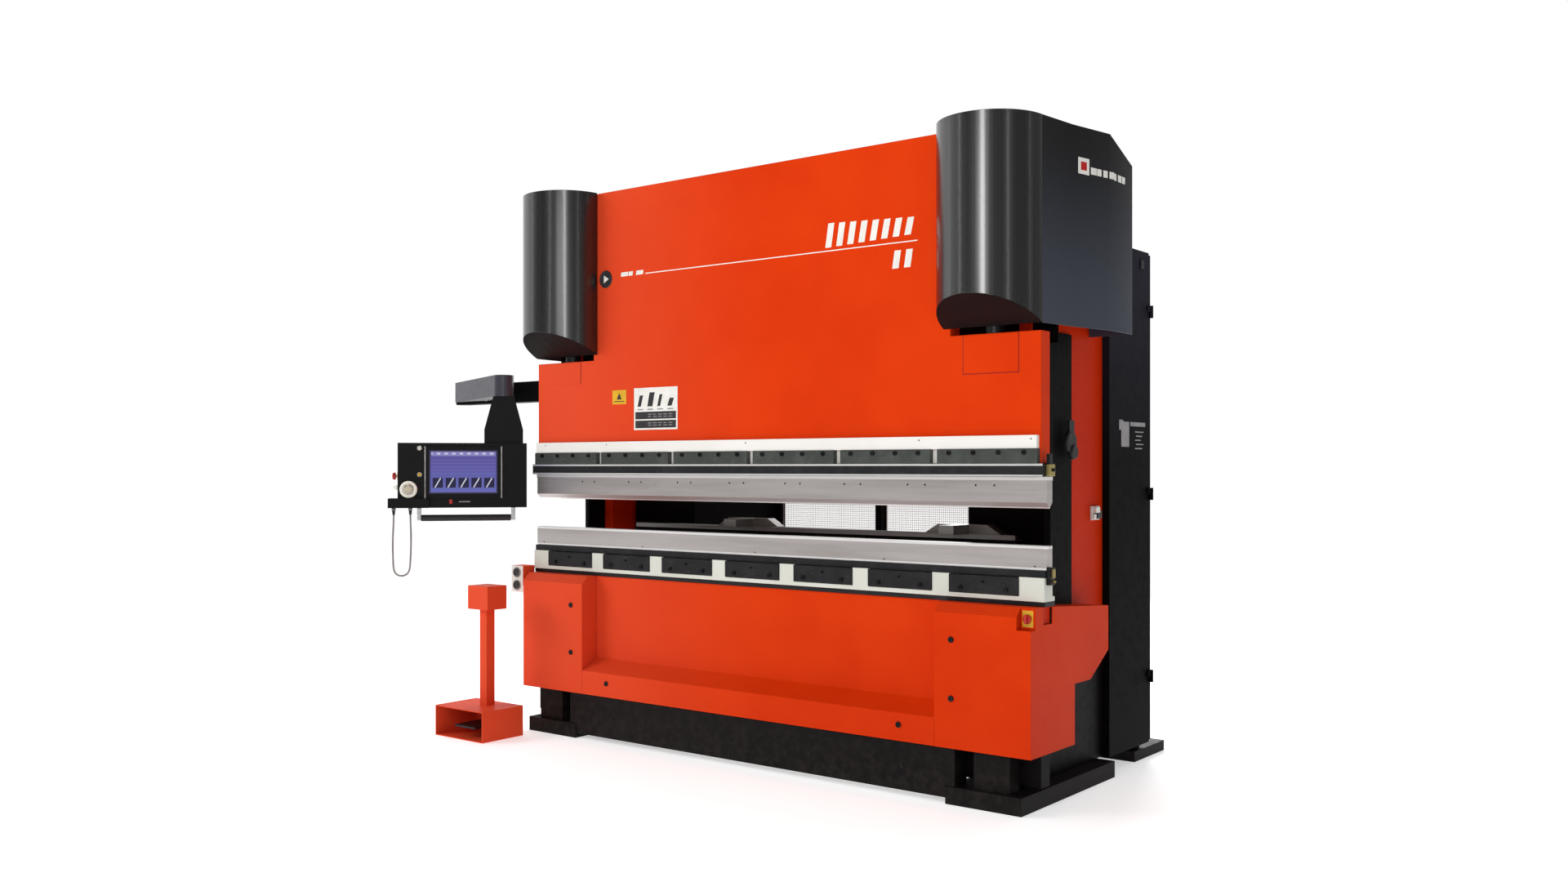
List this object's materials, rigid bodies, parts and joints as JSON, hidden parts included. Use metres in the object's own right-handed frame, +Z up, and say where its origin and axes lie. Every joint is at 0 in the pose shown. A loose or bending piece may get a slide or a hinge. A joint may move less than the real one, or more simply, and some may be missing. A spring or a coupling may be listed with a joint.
{
  "type": "press brake",
  "caption": "Hydraulic press brake with a moving upper beam and punch over a long V die, C-shaped side frames, back gauge, swing-arm control panel and foot pedal.",
  "frame": {"origin": "on the floor, at the middle of the four anchor holes of the two foot plates", "axes": "+X along the bed to the operator's right, +Y to the back of the machine, +Z up"},
  "size_m": [4.125, 2.1408, 2.89],
  "materials": {
    "red_paint": "gloss",
    "black_paint": "satin",
    "gloss_black": "gloss",
    "grey_paint": "satin",
    "pale_paint": "satin",
    "tool_steel": "brushed",
    "dark_steel": "blackened",
    "bright_steel": "polished",
    "black_plastic": "matte",
    "screen_glass": "gloss",
    "dial_plastic": "matte",
    "signal_red": "gloss",
    "cable_sheath": "matte"
  },
  "bodies": {
    "machine_frame": {"frame_left": "red_paint", "frame_right": "red_paint", "foot_plates": "black_paint", "lower_beam": "red_paint", "base_apron": "black_paint", "tie_beams": "black_paint", "table_plate": "dark_steel", "die_holder": "pale_paint", "die_clamps": "dark_steel", "die_clamp_bolts": "dark_steel", "die_rail": "dark_steel", "die": "tool_steel", "front_panel": "red_paint", "end_cover_left": "red_paint", "end_cover_right": "red_paint", "cover_screws": "dark_steel", "nose_cover_left": "gloss_black", "nose_cover_right": "gloss_black", "side_cover_left": "gloss_black", "side_cover_right": "gloss_black", "cylinders": "dark_steel", "ram_guides": "tool_steel", "hydraulic_units": "grey_paint", "scale_plates": "black_paint", "switch_box": "black_plastic", "socket_box": "red_paint", "cabinet_left": "black_paint", "cabinet_right": "black_paint", "rear_guard": "black_paint", "gauge_rails": "tool_steel", "arm_bracket": "black_paint"},
    "ram_beam": {"ram": "red_paint", "nose_bar": "pale_paint", "punch_clamps": "dark_steel", "punch_clamp_bolts": "dark_steel", "punch_holder": "dark_steel", "punch": "tool_steel", "piston_rods": "bright_steel"},
    "main_switch": {"main_switch_knob": "red_paint"},
    "left_cabinet_door": {"cabinet_door_left": "black_paint"},
    "right_cabinet_door": {"cabinet_door_right": "black_paint"},
    "rear_access_door": {"rear_door": "black_paint"},
    "left_ball_screw": {"ball_screw_left": "bright_steel"},
    "right_ball_screw": {"ball_screw_right": "bright_steel"},
    "gauge_carriage": {"gauge_carriages": "dark_steel"},
    "gauge_bar": {"gauge_beam": "tool_steel"},
    "left_finger": {"finger_left": "tool_steel"},
    "right_finger": {"finger_right": "tool_steel"},
    "swing_arm": {"inner_arm": "black_paint"},
    "forearm": {"outer_arm": "grey_paint"},
    "control_panel": {"panel_housing": "black_plastic", "panel_screen": "screen_glass", "panel_handle": "bright_steel", "cable_loop": "cable_sheath"},
    "panel_dial": {"hand_wheel": "dial_plastic"},
    "stop_button": {"emergency_stop": "signal_red"},
    "start_key": {"start_button": "dial_plastic"},
    "pause_key": {"pause_button": "signal_red"},
    "pedal_stand": {"pedal_station": "red_paint"},
    "pedal": {"foot_pedal": "dark_steel"}
  },
  "joints": [
    {"name": "ram_slide", "type": "slide", "parent": "machine_frame", "child": "ram_beam", "axis": [0, 0, 1], "range_m": [-0.16, 0.04]},
    {"name": "backgauge_depth", "type": "slide", "parent": "machine_frame", "child": "gauge_carriage", "axis": [0, 1, 0], "range_m": [-0.2, 0.04]},
    {"name": "backgauge_lift", "type": "slide", "parent": "gauge_carriage", "child": "gauge_bar", "axis": [0, 0, 1], "range_m": [0, 0.1]},
    {"name": "finger_left_slide", "type": "slide", "parent": "gauge_bar", "child": "left_finger", "axis": [1, 0, 0], "range_m": [-0.55, 0.15]},
    {"name": "finger_right_slide", "type": "slide", "parent": "gauge_bar", "child": "right_finger", "axis": [1, 0, 0], "range_m": [-0.65, 0.05]},
    {"name": "left_screw_spin", "type": "hinge", "parent": "machine_frame", "child": "left_ball_screw", "pos_m": [-0.6, 0.08, 0.78], "axis": [0, 1, 0], "continuous": true},
    {"name": "right_screw_spin", "type": "hinge", "parent": "machine_frame", "child": "right_ball_screw", "pos_m": [0.6, 0.08, 0.78], "axis": [0, 1, 0], "continuous": true},
    {"name": "arm_swing", "type": "hinge", "parent": "machine_frame", "child": "swing_arm", "pos_m": [-1.54, -0.13, 1.868], "axis": [0, 0, 1], "range_deg": [-45, 10]},
    {"name": "forearm_swing", "type": "hinge", "parent": "swing_arm", "child": "forearm", "pos_m": [-2.45, -0.13, 1.868], "axis": [0, 0, 1], "range_deg": [-100, 0]},
    {"name": "panel_swivel", "type": "hinge", "parent": "forearm", "child": "control_panel", "pos_m": [-1.72, -0.444, 1.78], "axis": [0, 0, 1], "range_deg": [-60, 30]},
    {"name": "dial_spin", "type": "hinge", "parent": "control_panel", "child": "panel_dial", "pos_m": [-1.99993, -0.87095, 1.311], "axis": [0.766, -0.6428, 0], "continuous": true},
    {"name": "stop_push", "type": "slide", "parent": "control_panel", "child": "stop_button", "axis": [0.6428, 0.766, 0], "range_m": [0, 0.006], "stiffness_N_per_m": 600, "springref_m": -0.004},
    {"name": "start_push", "type": "slide", "parent": "control_panel", "child": "start_key", "axis": [-0.766, 0.6428, 0], "range_m": [0, 0.003], "stiffness_N_per_m": 400, "springref_m": -0.002},
    {"name": "pause_push", "type": "slide", "parent": "control_panel", "child": "pause_key", "axis": [-0.766, 0.6428, 0], "range_m": [0, 0.003], "stiffness_N_per_m": 400, "springref_m": -0.002},
    {"name": "main_switch_turn", "type": "hinge", "parent": "machine_frame", "child": "main_switch", "pos_m": [1.508, -0.43, 0.809], "axis": [0, 1, 0], "range_deg": [0, 90]},
    {"name": "right_cabinet_door_swing", "type": "hinge", "parent": "machine_frame", "child": "right_cabinet_door", "pos_m": [1.455, 0.976, 1.3], "axis": [0, 0, 1], "range_deg": [-105, 0]},
    {"name": "left_cabinet_door_swing", "type": "hinge", "parent": "machine_frame", "child": "left_cabinet_door", "pos_m": [-1.455, 0.976, 1.3], "axis": [0, 0, 1], "range_deg": [0, 105]},
    {"name": "rear_door_swing", "type": "hinge", "parent": "machine_frame", "child": "rear_access_door", "pos_m": [-0.157, 0.976, 1.125], "axis": [0, 0, 1], "range_deg": [0, 100]},
    {"name": "pedal_stand_slide", "type": "slide", "parent": "machine_frame", "child": "pedal_stand", "axis": [0, -1, 0], "range_m": [0, 0.4]},
    {"name": "pedal_press", "type": "hinge", "parent": "pedal_stand", "child": "pedal", "pos_m": [-1.569, -0.65, 0.052], "axis": [1, 0, 0], "range_deg": [0, 8], "stiffness_Nm_per_rad": 20, "springref_deg": -20.05}
  ],
  "couplings": [
    {"joint": "left_screw_spin", "follows": "backgauge_depth", "rad_per_m": 314.16},
    {"joint": "right_screw_spin", "follows": "backgauge_depth", "rad_per_m": 314.16}
  ]
}
